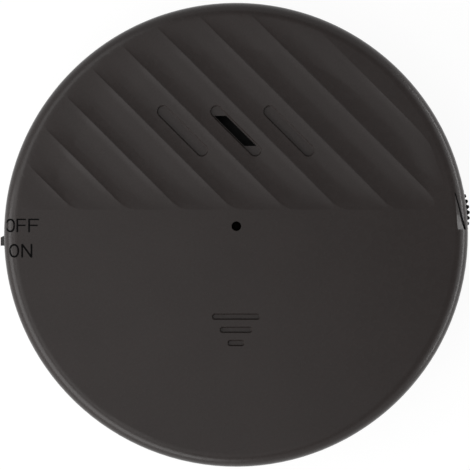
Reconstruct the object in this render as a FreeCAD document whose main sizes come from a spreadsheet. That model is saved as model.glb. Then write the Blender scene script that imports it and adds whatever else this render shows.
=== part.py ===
"""A round glass break sensor: a ribbed two-part case that sticks to a window pane,
with a siren, a vibration sensor, a slide switch and a sensitivity wheel inside.

Lengths are millimetres. The sensor lies on its back: +Z points out of the front
face, +Y is up on the pane, and Z = 0 is the pane behind the adhesive pad.
"""

import FreeCAD, Part
import math
import os
import types

import Sketcher

os.makedirs("parts", exist_ok=True)
doc = FreeCAD.newDocument("glass_break_sensor")

SIZES = {
    # case
    "case_radius": 35.0,
    "rim_round": 2.1,
    "inner_round": 0.5,
    "side_wall": 1.6,
    "front_wall": 1.8,
    "web_thickness": 0.8,
    "root_depth": 0.4,
    "rear_edge": 0.5,
    "pad_thickness": 0.8,
    "pad_inset": 3.5,
    "pad_door_gap": 1.75,
    # clearances
    "fit_gap": 0.05,
    "slide_gap": 0.1,
    "running_gap": 0.25,
    "assembly_gap": 0.2,
    # flutes of the front face
    "flute_angle": 45.0,
    "flute_pitch": 5.66,
    "flute_depth": 0.49,
    "flute_steep_end": 0.22,
    "flute_floor_end": 0.4,
    "flute_steep_sag": 0.3,
    "flute_floor_sag": 0.97,
    "flute_low_sag": 1.07,
    "flute_rise_sag": 0.74,
    "flute_cusp": 2.34,
    "cusps_before": 4,
    "cusps_after": 5,
    "cusp_drop": 0.03,
    "flute_lift": 0.03,
    "flute_overrun": 1.0,
    "flute_field_overhang": 0.4,
    "flute_field_shift": 6.0,
    "flute_rim_ramp": 3.0,
    "flute_end": 3.6,
    "flute_ramp": 5.4,
    "flute_steps": 17,
    # oval recesses and sound opening
    "oval_middle": -0.07,
    "oval_height": 15.6,
    "oval_half_span": 4.15,
    "oval_radius": 0.66,
    "oval_depth": 0.36,
    "oval_sink": 0.1,
    "sound_top": 17.9,
    "sound_low": 13.36,
    "sound_half_width": 0.92,
    # indicator hole and bars
    "indicator_x": 0.05,
    "indicator_y": 1.29,
    "indicator_hole": 0.725,
    "bar_top": -12.3,
    "bar_pitch": 1.98,
    "bar_radius": 0.28,
    "bar_half_span": 3.17,
    "bar_step": 1.17,
    "bar_count": 3,
    "bar_depth": 0.35,
    "wall_draft": 30.0,
    # siren
    "siren_gap": 0.36,
    "piezo_radius": 13.5,
    "piezo_plate": 0.2,
    "ceramic_radius": 10.0,
    "ceramic_thickness": 0.2,
    "ring_wall": 0.9,
    "ring_ledge": 1.0,
    "siren_cavity": 1.0,
    "ring_skirt": 0.6,
    # joint between the covers
    "lip_thickness": 1.0,
    "lip_height": 1.0,
    "boss_radius": 2.5,
    "boss_upper_angle": 40.0,
    "boss_lower_angle": 25.0,
    "boss_rib": 1.0,
    "screw_radius": 0.8,
    "screw_head": 1.8,
    "screw_head_height": 1.2,
    "screw_sink": 0.15,
    "screw_length": 5.0,
    "recess_span": 2.0,
    "recess_width": 0.5,
    "recess_depth": 0.6,
    # battery tray and cells
    "cell_radius": 5.8,
    "cell_height": 5.4,
    "cell_pitch": 12.6,
    "cell_row": -17.0,
    "cell_cap": 4.6,
    "cell_bevel": 0.3,
    "tray_gap": 0.5,
    "tray_wall": 0.9,
    "tray_floor": 0.8,
    "spring_space": 0.6,
    "contact_space": 0.5,
    # battery door
    "door_thickness": 1.3,
    "door_half_width": 21.4,
    "door_margin": 0.9,
    "tongue_reach": 0.7,
    "tongue_thickness": 0.6,
    "tongue_length": 17.0,
    "grip_half_span": 6.0,
    "grip_radius": 0.4,
    "grip_depth": 0.4,
    "grip_pitch": 1.6,
    "grip_count": 4,
    "grip_start": -32.0,
    # contacts
    "strip": 0.2,
    "strip_width": 4.0,
    "bow_flat": 1.0,
    "bow_run": 3.6,
    "leg_width": 1.2,
    "leg_reach": 1.3,
    "leg_tail": 0.3,
    # circuit board
    "board_thickness": 1.0,
    "board_gap": 2.0,
    "board_margin": 0.7,
    "pin_radius": 0.25,
    "pin_tail": 0.9,
    "board_boss_radius": 2.1,
    "board_screw_radius": 0.7,
    "board_screw_head": 1.4,
    "board_screw_head_height": 0.8,
    "board_screw_length": 2.6,
    "board_screw_left_inset": 11.9,
    "board_screw_left_y": 6.0,
    "board_screw_right_inset": 15.9,
    "board_screw_right_y": -4.6,
    # slide switch
    "switch_height": 3.2,
    "switch_depth": 3.4,
    "switch_length": 8.6,
    "switch_wall": 0.35,
    "switch_base": 0.6,
    "switch_pin_pitch": 2.8,
    "knob_rest": -0.875,
    "knob_width": 1.56,
    "knob_height": 1.6,
    "knob_travel": 1.5,
    "knob_proud": 0.6,
    "knob_bevel": 0.3,
    "slider_length": 3.4,
    "slider_depth": 1.6,
    # sensitivity wheel
    "wheel_radius": 7.91,
    "wheel_angle": 6.24,
    "wheel_proud": 0.5,
    "wheel_thickness": 1.6,
    "tooth_count": 57,
    "tooth_phase": 2.95,
    "notch_radius": 0.36,
    "notch_depth": 0.36,
    "wheel_dish": 5.6,
    "wheel_dish_depth": 0.4,
    "dial_base_radius": 5.5,
    "dial_base_height": 0.9,
    "dial_pin_reach": 4.1,
    "dial_pin_angle": 30.0,
    "rotor_radius": 2.0,
    "rotor_collar": 3.0,
    "wheel_screw_head": 1.7,
    "wheel_screw_height": 0.4,
    "wheel_screw_radius": 0.7,
    "driver_slot": 0.2,
    # dial mark on the rim
    "mark_top": 6.24,
    "mark_low": 0.8,
    "mark_top_inset": 1.4,
    "mark_low_inset": 0.35,
    "mark_top_width": 0.18,
    "mark_low_width": 0.32,
    "mark_depth": 1.2,
    "facet_width": 1.3,
    "facet_top_width": 0.2,
    "facet_drop": 1.15,
    "facet_top_drop": 0.09,
    "facet_inner_drop": 0.045,
    # board components
    "led_radius": 1.5,
    "led_flange": 1.85,
    "led_flange_height": 0.7,
    "led_height": 3.5,
    "led_dome": 1.35,
    "led_lead_pitch": 2.54,
    "sensor_radius": 1.7,
    "sensor_length": 9.0,
    "sensor_inset": 21.4,
    "sensor_y": -5.6,
    "lead_radius": 0.3,
    "lead_bend": 0.8,
    "coil_radius": 3.5,
    "coil_winding": 3.0,
    "coil_height": 3.4,
    "coil_flange": 0.7,
    "coil_x": 6.6,
    "coil_y": -4.6,
    "chip_length": 5.0,
    "chip_width": 4.0,
    "chip_height": 1.5,
    "chip_inset": 20.4,
    "chip_y": 2.0,
    "chip_lead_count": 4,
    "capacitor_radius": 1.6,
    "capacitor_length": 6.5,
    "capacitor_inset": 9.4,
    "capacitor_y": -5.6,
    "transistor_length": 2.9,
    "transistor_width": 1.4,
    "transistor_height": 1.1,
    "transistor_x": 10.5,
    "transistor_y": 3.0,
    "transistor_lead_count": 2,
    "chip_lead_width": 0.45,
    "chip_lead_reach": 0.8,
    "resistor_length": 3.2,
    "resistor_width": 1.6,
    "resistor_height": 0.6,
    "resistor_pitch": 2.6,
    "resistor_row": 12.0,
    "resistor_count": 5,
    "wire_radius": 0.4,
    "wire_bend": 1.3,
    "wire_run": 2.0,
    "wire_spacing": 3.0,
}

sheet = doc.addObject("Spreadsheet::Sheet", "sizes")
for row, (alias, number) in enumerate(SIZES.items(), start=1):
    sheet.set(f"A{row}", alias)
    sheet.set(f"B{row}", str(number))
    sheet.setAlias(f"B{row}", alias)
doc.recompute()


class Size:
    """A length or an angle: its value, and the expression that ties it to the sheet."""

    def __init__(self, value, text):
        self.value = value
        self.text = text

    def __add__(self, other):
        other = as_size(other)
        return Size(self.value + other.value, f"({self.text} + {other.text})")

    def __sub__(self, other):
        other = as_size(other)
        return Size(self.value - other.value, f"({self.text} - {other.text})")

    def __mul__(self, other):
        other = as_size(other)
        return Size(self.value * other.value, f"({self.text} * {other.text})")

    def __truediv__(self, other):
        other = as_size(other)
        return Size(self.value / other.value, f"({self.text} / {other.text})")

    def __neg__(self):
        return Size(-self.value, f"(0 - {self.text})")


def as_size(number):
    """Plain numbers, such as 0 and 2, join in as sizes that the sheet doesn't hold."""
    return number if isinstance(number, Size) else Size(number, f"({number})")


def root(size):
    return Size(math.sqrt(size.value), f"sqrt({size.text})")


def cosine(angle):
    return Size(math.cos(math.radians(angle.value)), f"cos({angle.text})")


def sine(angle):
    return Size(math.sin(math.radians(angle.value)), f"sin({angle.text})")


s = types.SimpleNamespace(**{name: Size(number, f"sizes.{name}") for name, number in SIZES.items()})
ZERO = as_size(0)

# Levels, from the pane to the front face.
rear_z = s.pad_thickness
door_z = rear_z + s.door_thickness
web_z = door_z + s.slide_gap
joint_z = web_z + s.web_thickness
cell_top = web_z + s.cell_height
tray_inner_z = cell_top + s.contact_space
tray_top = tray_inner_z + s.tray_floor
inner_z = tray_top + s.slide_gap
front_z = inner_z + s.front_wall
lip_top = joint_z + s.lip_height
board_low = lip_top + s.assembly_gap
board_top = board_low + s.board_thickness
boss_low = joint_z + s.slide_gap
seat_z = inner_z - s.siren_cavity
ring_low = seat_z - s.ring_skirt

# Radii and places in plan.
cavity_radius = s.case_radius - s.side_wall
lip_outer = cavity_radius - s.slide_gap
lip_inner = lip_outer - s.lip_thickness
boss_reach = lip_inner - s.assembly_gap - s.boss_radius
board_radius = cavity_radius - s.board_gap
tray_left = -(s.cell_pitch + s.cell_radius + s.tray_gap)
tray_right = s.cell_pitch + s.cell_radius + s.tray_gap + s.spring_space
tray_low_y = s.cell_row - s.cell_radius - s.tray_gap
tray_high_y = s.cell_row + s.cell_radius + s.tray_gap
tray_edge_y = tray_high_y + s.tray_wall
board_edge_y = tray_edge_y + s.board_margin
door_high_y = tray_high_y + s.door_margin
wheel_reach = s.case_radius + s.wheel_proud - s.wheel_radius
wheel_x = wheel_reach * cosine(s.wheel_angle)
wheel_y = wheel_reach * sine(s.wheel_angle)
dial_top = board_top + s.dial_base_height
wheel_low = dial_top + s.running_gap
knob_off = s.knob_rest + s.knob_travel
switch_y = (s.knob_rest + knob_off) / 2
switch_half = s.switch_length / 2
switch_corner = switch_half - switch_y
switch_front = -(root(cavity_radius * cavity_radius - switch_corner * switch_corner) - s.assembly_gap)
switch_back = switch_front + s.switch_depth
switch_top = board_top + s.switch_height
knob_low = board_top + s.switch_base + s.running_gap
knob_top = knob_low + s.knob_height
leg_y = tray_edge_y + s.leg_reach
board_leg_low = board_low - s.leg_tail
side_strip_low = board_top + s.assembly_gap * 2
side_strip_high = side_strip_low + s.strip_width / 2
link_reach = s.cell_pitch + s.bow_run
link_end = s.bow_run
siren_y = s.indicator_y + s.led_flange + s.siren_gap + s.ring_wall + s.slide_gap + s.piezo_radius
capacitor_x = s.capacitor_inset - board_radius
sensor_x = s.sensor_inset - board_radius
chip_x = s.chip_inset - board_radius


def place(size_x, size_y):
    return (as_size(size_x), as_size(size_y))


def at_angle(reach, angle, across=ZERO):
    """The point at a reach along an angle, moved sideways by across."""
    x = reach * cosine(angle) - across * sine(angle)
    y = reach * sine(angle) + across * cosine(angle)
    return (x, y)


upper_angle = s.boss_upper_angle
lower_angle = -s.boss_lower_angle
boss_angles = [upper_angle, as_size(180) - upper_angle, as_size(180) - lower_angle, lower_angle]
boss_places = [at_angle(boss_reach, angle) for angle in boss_angles]
board_screw_places = [
    (s.board_screw_left_inset - board_radius, s.board_screw_left_y),
    (board_radius - s.board_screw_right_inset, s.board_screw_right_y),
]
oval_pitch = s.flute_pitch / sine(s.flute_angle)

TOLERANCE = 1e-4
MARGIN = as_size(1)
pieces = []
cutters = []


def new_body(label, keep=True):
    body = doc.addObject("PartDesign::Body", label)
    body.Label = label
    body.AllowCompound = True
    if keep:
        pieces.append(body)
    return body


def bind(target, name, size):
    size = as_size(size)
    setattr(target, name, size.value)
    target.setExpression(name, size.text)


def put(body, x=ZERO, y=ZERO, z=ZERO):
    """Moves a finished sub-part to its place."""
    body.Placement.Base = FreeCAD.Vector(x.value, y.value, z.value)
    for axis, size in zip("xyz", (x, y, z)):
        body.setExpression(f".Placement.Base.{axis}", size.text)


def origin_of(body, role):
    return next(item for item in body.Origin.OriginFeatures if item.Role == role)


def sketch_on(body, name, offset=ZERO, plane="XY_Plane"):
    sketch = body.newObject("Sketcher::SketchObject", name)
    sketch.AttachmentSupport = [(origin_of(body, plane), "")]
    sketch.MapMode = "FlatFace"
    sketch.AttachmentOffset = FreeCAD.Placement(FreeCAD.Vector(0, 0, offset.value), FreeCAD.Rotation())
    sketch.setExpression(".AttachmentOffset.Base.z", offset.text)
    return sketch


def constrain(sketch, size, *constraint):
    size = as_size(size)
    index = sketch.addConstraint(Sketcher.Constraint(*constraint, size.value))
    sketch.setExpression(f"Constraints[{index}]", size.text)


def fix_point(sketch, geometry, position, point):
    constrain(sketch, point[0], "DistanceX", -1, 1, geometry, position)
    constrain(sketch, point[1], "DistanceY", -1, 1, geometry, position)


def vector(point):
    return FreeCAD.Vector(point[0].value, point[1].value, 0)


def polygon(sketch, corners):
    """A closed outline of straight lines through corners that the sheet fixes."""
    corners = [place(*corner) for corner in corners]
    first = sketch.GeometryCount
    count = len(corners)
    for index, corner in enumerate(corners):
        following = corners[(index + 1) % count]
        sketch.addGeometry(Part.LineSegment(vector(corner), vector(following)), False)
    for index in range(count):
        following = first + (index + 1) % count
        sketch.addConstraint(Sketcher.Constraint("Coincident", first + index, 2, following, 1))
    for index, corner in enumerate(corners):
        fix_point(sketch, first + index, 1, corner)


def rectangle(sketch, left, right, low, high):
    polygon(sketch, [(left, low), (right, low), (right, high), (left, high)])


def circle(sketch, center, radius):
    center = place(*center)
    up = FreeCAD.Vector(0, 0, 1)
    index = sketch.addGeometry(Part.Circle(vector(center), up, radius.value), False)
    fix_point(sketch, index, 3, center)
    constrain(sketch, radius, "Radius", index)


def oval(sketch, start, end, radius):
    """A slot outline: two half circles joined by tangent lines."""
    start = place(*start)
    end = place(*end)
    along = vector(end) - vector(start)
    heading = math.atan2(along.y, along.x)
    up = FreeCAD.Vector(0, 0, 1)
    side = FreeCAD.Vector(-math.sin(heading), math.cos(heading), 0) * radius.value
    quarter = math.pi / 2
    first = sketch.GeometryCount
    start_circle = Part.Circle(vector(start), up, radius.value)
    end_circle = Part.Circle(vector(end), up, radius.value)
    sketch.addGeometry(Part.ArcOfCircle(start_circle, heading + quarter, heading + 3 * quarter), False)
    sketch.addGeometry(Part.LineSegment(vector(start) - side, vector(end) - side), False)
    sketch.addGeometry(Part.ArcOfCircle(end_circle, heading - quarter, heading + quarter), False)
    sketch.addGeometry(Part.LineSegment(vector(end) + side, vector(start) + side), False)
    for index in range(4):
        following = first + (index + 1) % 4
        sketch.addConstraint(Sketcher.Constraint("Tangent", first + index, 2, following, 1))
    sketch.addConstraint(Sketcher.Constraint("Equal", first, first + 2))
    fix_point(sketch, first, 3, start)
    fix_point(sketch, first + 2, 3, end)
    constrain(sketch, radius, "Radius", first)


def pad(body, name, sketch, length, midplane=False, backwards=False):
    feature = body.newObject("PartDesign::Pad", name)
    feature.Profile = sketch
    feature.Midplane = midplane
    feature.Reversed = backwards
    bind(feature, "Length", length)
    return feature


def pocket(body, name, sketch, length=None, forwards=True, draft=None):
    """A cut along the sketch's normal, or against it, through everything where no length is given."""
    feature = body.newObject("PartDesign::Pocket", name)
    feature.Profile = sketch
    feature.Reversed = forwards
    if length is None:
        feature.Type = "ThroughAll"
    else:
        bind(feature, "Length", length)
    if draft is not None:
        bind(feature, "TaperAngle", draft)
    return feature


def turned(body, name, corners):
    """A solid of revolution about Z, from corners given as radius and height."""
    sketch = sketch_on(body, f"{name}_profile", plane="XZ_Plane")
    polygon(sketch, corners)
    feature = body.newObject("PartDesign::Revolution", name)
    feature.Profile = sketch
    feature.ReferenceAxis = (sketch, ["V_Axis"])
    feature.Angle = 360
    return feature


def round_edges(body, name, radius, wanted, kind="PartDesign::Fillet"):
    """Rounds or bevels the circular edges of the body that wanted picks."""
    doc.recompute()
    base = body.Tip
    edges = []
    for index, edge in enumerate(base.Shape.Edges, start=1):
        if isinstance(edge.Curve, Part.Circle) and wanted(edge.Curve):
            edges.append(f"Edge{index}")
    feature = body.newObject(kind, name)
    feature.Base = (base, edges)
    bind(feature, "Size" if kind.endswith("Chamfer") else "Radius", radius)
    return feature


def near(value, size):
    return abs(value - size.value) < TOLERANCE


def solid_of(label, shape):
    feature = doc.addObject("Part::Feature", label)
    feature.Label = label
    feature.Shape = shape
    feature.Placement = FreeCAD.Placement()
    pieces.append(feature)
    return feature


def block(label, left, right, low, high, base, height):
    """A plain box, given by its edges in plan."""
    body = new_body(label)
    sketch = sketch_on(body, f"{label}_plan", base)
    rectangle(sketch, left, right, low, high)
    pad(body, f"{label}_block", sketch, height)
    return body


def pins(label, places, radius, low, high):
    """Round pins side by side, one solid each."""
    body = new_body(label)
    sketch = sketch_on(body, f"{label}_plan", low)
    for center in places:
        circle(sketch, center, radius)
    pad(body, f"{label}_pins", sketch, high - low)
    return body


def bent_wire(points, wire_radius, bend_radius):
    """A round wire through the points, with an arc at each inner one."""
    edges = []
    start = points[0]
    for before, corner, after in zip(points, points[1:], points[2:]):
        back = (before - corner).normalize()
        ahead = (after - corner).normalize()
        half_turn = (math.pi - back.getAngle(ahead)) / 2
        reach = bend_radius * math.tan(half_turn)
        bulge = bend_radius / math.cos(half_turn) - bend_radius
        middle = corner + (back + ahead).normalize() * bulge
        edges.append(Part.LineSegment(start, corner + back * reach).toShape())
        edges.append(Part.Arc(corner + back * reach, middle, corner + ahead * reach).toShape())
        start = corner + ahead * reach
    edges.append(Part.LineSegment(start, points[-1]).toShape())
    section = Part.Wire(Part.Circle(points[0], points[1] - points[0], wire_radius).toShape())
    return Part.Wire(edges).makePipeShell([section], True, True)


def eased(share):
    """Rises from 0 to 1, steeply at first, and is level at 1."""
    share = min(max(share, 0), 1)
    return share * (2 - share)


def flute_strength(x, y):
    """The share of its full depth that a flute has at a point: all of it out to the upper left rim."""
    field = (s.case_radius + s.flute_field_overhang).value
    shift = s.flute_field_shift.value
    rim_share = (field - math.hypot(x + shift, y - shift)) / s.flute_rim_ramp.value
    low_share = (y - s.flute_end.value) / s.flute_ramp.value
    return eased(rim_share) * eased(low_share)


def flute_line(across):
    """The lower end of the flutes and their end beyond the rim, on the line at a distance across them."""
    turn = math.radians(s.flute_angle.value)
    beyond = (s.case_radius + s.flute_overrun).value
    high = math.sqrt(max(beyond * beyond - across * across, 0))
    low = (s.flute_end.value - across * math.sin(turn)) / math.cos(turn)
    return max(low, -high), high


def flute_pole(across, share, sunk):
    """A control point of a flute's floor, sunk this far below the face where the flute is deepest."""
    turn = math.radians(s.flute_angle.value)
    low, high = flute_line(across)
    along = low + (high - low) * share
    x = across * math.cos(turn) - along * math.sin(turn)
    y = across * math.sin(turn) + along * math.cos(turn)
    lift = s.flute_lift.value
    return FreeCAD.Vector(x, y, front_z.value + lift - (lift + sunk) * flute_strength(x, y))


def flute_profile(left, right, left_drop, right_drop):
    """Where the poles of a flute's section lie across and how far they sink: steep first, then gentle."""
    steep = s.flute_steep_end.value
    floor = s.flute_floor_end.value
    profile = [(left, left_drop)]
    for share, sag in (
        (steep / 3, s.flute_steep_sag),
        ((steep + floor) / 3, s.flute_floor_sag),
        ((steep + floor + 1) / 3, s.flute_low_sag),
        ((floor + 2) / 3, s.flute_rise_sag),
    ):
        sunk = s.cusp_drop.value + s.flute_depth.value * sag.value
        profile.append((left + (right - left) * share, sunk))
    return profile + [(right, right_drop)]


def flute_space(left, right, left_drop, right_drop):
    """The space above one flute: its floor sags between two cusp lines and is pushed up through the face."""
    steps = int(s.flute_steps.value)
    profile = flute_profile(left, right, left_drop, right_drop)
    poles = []
    for step in range(steps + 1):
        share = (1 - math.cos(math.pi * step / steps)) / 2
        poles.append([flute_pole(across, share, sunk) for across, sunk in profile])
    knots = list(range(steps - 1))
    repeats = [4] + [1] * (steps - 3) + [4]
    knots_across = [0, s.flute_steep_end.value, s.flute_floor_end.value, 1]
    floor = Part.BSplineSurface()
    floor.buildFromPolesMultsKnots(poles, repeats, [4, 1, 1, 4], knots, knots_across, False, False, 3, 3)
    height = s.flute_depth + s.oval_depth + MARGIN * 2
    return floor.toShape().extrude(FreeCAD.Vector(0, 0, height.value))


def flute_spaces():
    """Every flute's span across the face and the space above it, from the lower left to the upper right."""
    pitch = s.flute_pitch.value
    steps = range(-int(s.cusps_before.value), int(s.cusps_after.value) + 1)
    cusps = [s.flute_cusp.value + pitch * step for step in steps]
    cusps = [cusp for cusp in cusps if flute_line(cusp)[1] - flute_line(cusp)[0] > TOLERANCE]
    outer_drop = -s.flute_lift.value / 2
    drops = [outer_drop] + [s.cusp_drop.value] * (len(cusps) - 2) + [outer_drop]
    spaces = []
    for left, right, left_drop, right_drop in zip(cusps, cusps[1:], drops, drops[1:]):
        spaces.append((left, right, flute_space(left, right, left_drop, right_drop)))
    return spaces


def shape_feature(name, shape):
    feature = doc.addObject("Part::Feature", name)
    feature.Shape = shape
    return feature


def oval_recess(number, x, y, spaces):
    """An oval recess with drafted walls, whose floor follows the floor of its flute."""
    turn = math.radians(s.flute_angle.value)
    across = x.value * math.cos(turn) + y.value * math.sin(turn)
    name = f"oval_{number}"
    low_z = front_z - s.cusp_drop - s.flute_depth - s.oval_depth - s.oval_sink
    reach_x = s.oval_half_span * cosine(s.flute_angle)
    reach_y = s.oval_half_span * sine(s.flute_angle)
    prism = new_body(f"{name}_walls", keep=False)
    outline = sketch_on(prism, f"{name}_outline", low_z)
    oval(outline, (x - reach_x, y + reach_y), (x + reach_x, y - reach_y), s.oval_radius)
    walls = pad(prism, f"{name}_pad", outline, front_z + MARGIN - low_z)
    bind(walls, "TaperAngle", s.wall_draft)
    floors = [space for left, right, space in spaces if left < across < right]
    drop = FreeCAD.Vector(0, 0, -s.oval_depth.value)
    recess = doc.addObject("Part::Common", f"{name}_recess")
    recess.Base = prism
    recess.Tool = shape_feature(f"{name}_floor", floors[0].translated(drop))
    cutters.append(recess)
    return recess


def cut_dial_mark(body):
    """The facet and the dark wedge in the rim that show which way the wheel turns."""
    case_square = s.case_radius * s.case_radius
    top_x = root(case_square - s.mark_top * s.mark_top) - s.mark_top_inset
    low_x = root(case_square - s.mark_low * s.mark_low) - s.mark_low_inset
    above = front_z + MARGIN
    facet_inner_z = front_z - s.facet_inner_drop
    facet_ends = [
        ("facet_low", s.mark_low, low_x - s.facet_width, low_x, front_z - s.facet_drop),
        ("facet_top", s.mark_top, top_x - s.facet_top_width, top_x, front_z - s.facet_top_drop),
    ]
    wedge_ends = [
        ("wedge_low", s.mark_low, low_x - s.mark_low_width, low_x, s.mark_depth + s.facet_drop),
        ("wedge_top", s.mark_top, top_x - s.mark_top_width, top_x, s.mark_depth),
    ]
    facet_sections = []
    for name, y, left, right, right_z in facet_ends:
        section = sketch_on(body, name, -y, plane="XZ_Plane")
        polygon(section, [(left, facet_inner_z), (right, right_z), (right, above), (left, above)])
        facet_sections.append(section)
    wedge_sections = []
    for name, y, left, right, depth in wedge_ends:
        section = sketch_on(body, name, -y, plane="XZ_Plane")
        rectangle(section, left, right, front_z - depth, above)
        wedge_sections.append(section)
    for name, sections in (("facet", facet_sections), ("wedge", wedge_sections)):
        loft = body.newObject("PartDesign::SubtractiveLoft", name)
        loft.Profile = sections[0]
        loft.Sections = sections[1:]
        loft.Ruled = True


def make_front_cover():
    body = new_body("front_cover_body", keep=False)
    root_z = inner_z + s.root_depth
    turned(body, "shell", [
        (0, front_z),
        (s.case_radius, front_z),
        (s.case_radius, joint_z),
        (cavity_radius, joint_z),
        (cavity_radius, inner_z),
        (0, inner_z),
    ])
    round_edges(body, "rim", s.rim_round,
                lambda curve: near(curve.Radius, s.case_radius) and near(curve.Center.z, front_z))
    round_edges(body, "inner_corner", s.inner_round,
                lambda curve: near(curve.Radius, cavity_radius) and near(curve.Center.z, inner_z))

    siren = (0, siren_y)
    ring_plan = sketch_on(body, "ring_plan", ring_low)
    circle(ring_plan, siren, s.piezo_radius + s.slide_gap + s.ring_wall)
    circle(ring_plan, siren, s.piezo_radius - s.ring_ledge)
    pad(body, "siren_ring", ring_plan, root_z - ring_low)
    seat_plan = sketch_on(body, "seat_plan", seat_z)
    circle(seat_plan, siren, s.piezo_radius + s.slide_gap)
    pocket(body, "piezo_seat", seat_plan, forwards=False)

    boss_plan = sketch_on(body, "boss_plan", boss_low)
    pilot_plan = sketch_on(body, "pilot_plan", boss_low)
    for center in boss_places:
        circle(boss_plan, center, s.boss_radius)
        circle(pilot_plan, center, s.screw_radius + s.fit_gap)
    pad(body, "bosses", boss_plan, root_z - boss_low)
    rib_plan = sketch_on(body, "rib_plan", lip_top + s.slide_gap)
    half_rib = s.boss_rib / 2
    for angle in boss_angles:
        inner = boss_reach + s.boss_radius / 2
        outer = cavity_radius + s.root_depth
        polygon(rib_plan, [
            at_angle(inner, angle, -half_rib),
            at_angle(outer, angle, -half_rib),
            at_angle(outer, angle, half_rib),
            at_angle(inner, angle, half_rib),
        ])
    pad(body, "boss_ribs", rib_plan, root_z - lip_top - s.slide_gap)
    pocket(body, "pilot_holes", pilot_plan, s.screw_length + s.assembly_gap)

    board_boss_plan = sketch_on(body, "board_boss_plan", board_top)
    board_pilot_plan = sketch_on(body, "board_pilot_plan", board_top)
    for center in board_screw_places:
        circle(board_boss_plan, center, s.board_boss_radius)
        circle(board_pilot_plan, center, s.board_screw_radius + s.fit_gap)
    pad(body, "board_bosses", board_boss_plan, root_z - board_top)
    pocket(body, "board_pilots", board_pilot_plan, s.board_screw_length + s.assembly_gap)

    knob_plan = sketch_on(body, "knob_window", -(cavity_radius - s.side_wall), plane="YZ_Plane")
    half_knob = s.knob_width / 2 + s.running_gap
    rectangle(knob_plan, s.knob_rest - half_knob, knob_off + half_knob,
              knob_low - s.running_gap, knob_top + s.running_gap)
    pocket(body, "knob_slot", knob_plan, forwards=False)
    wheel_plan = sketch_on(body, "wheel_plan", wheel_low - s.running_gap)
    circle(wheel_plan, (wheel_x, wheel_y), s.wheel_radius + s.running_gap)
    pocket(body, "wheel_slot", wheel_plan, s.wheel_thickness + s.running_gap * 2)

    slant = cosine(s.flute_angle) / sine(s.flute_angle)
    sound_top_x = s.oval_middle - (s.sound_top - s.oval_height) * slant
    sound_low_x = s.oval_middle - (s.sound_low - s.oval_height) * slant
    sound_plan = sketch_on(body, "sound_plan", seat_z)
    polygon(sound_plan, [
        (sound_low_x - s.sound_half_width, s.sound_low),
        (sound_low_x + s.sound_half_width, s.sound_low),
        (sound_top_x + s.sound_half_width, s.sound_top),
        (sound_top_x - s.sound_half_width, s.sound_top),
    ])
    pocket(body, "sound_opening", sound_plan)

    hole_plan = sketch_on(body, "hole_plan", seat_z)
    circle(hole_plan, (s.indicator_x, s.indicator_y), s.indicator_hole)
    pocket(body, "indicator_opening", hole_plan)
    bar_floor = sketch_on(body, "bar_floor", front_z - s.bar_depth)
    for step in range(int(s.bar_count.value)):
        y = s.bar_top - s.bar_pitch * step
        half = s.bar_half_span - s.bar_step * step
        oval(bar_floor, (-half, y), (half, y), s.bar_radius)
    pocket(body, "bars", bar_floor, s.bar_depth + MARGIN, draft=s.wall_draft)
    cut_dial_mark(body)

    spaces = flute_spaces()
    flutes = doc.addObject("Part::MultiFuse", "flutes")
    flutes.Shapes = [shape_feature(f"flute_{number}", space[2]) for number, space in enumerate(spaces, 1)]
    fluted = doc.addObject("Part::Cut", "fluted_cover")
    fluted.Base = body
    fluted.Tool = flutes
    recesses = doc.addObject("Part::Compound", "oval_recesses")
    recesses.Links = [
        oval_recess(step + 2, s.oval_middle + oval_pitch * step, s.oval_height, spaces) for step in (-1, 0, 1)
    ]
    cover = doc.addObject("Part::Cut", "front_cover")
    cover.Label = "front_cover"
    cover.Base = fluted
    cover.Tool = recesses
    pieces.append(cover)


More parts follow.
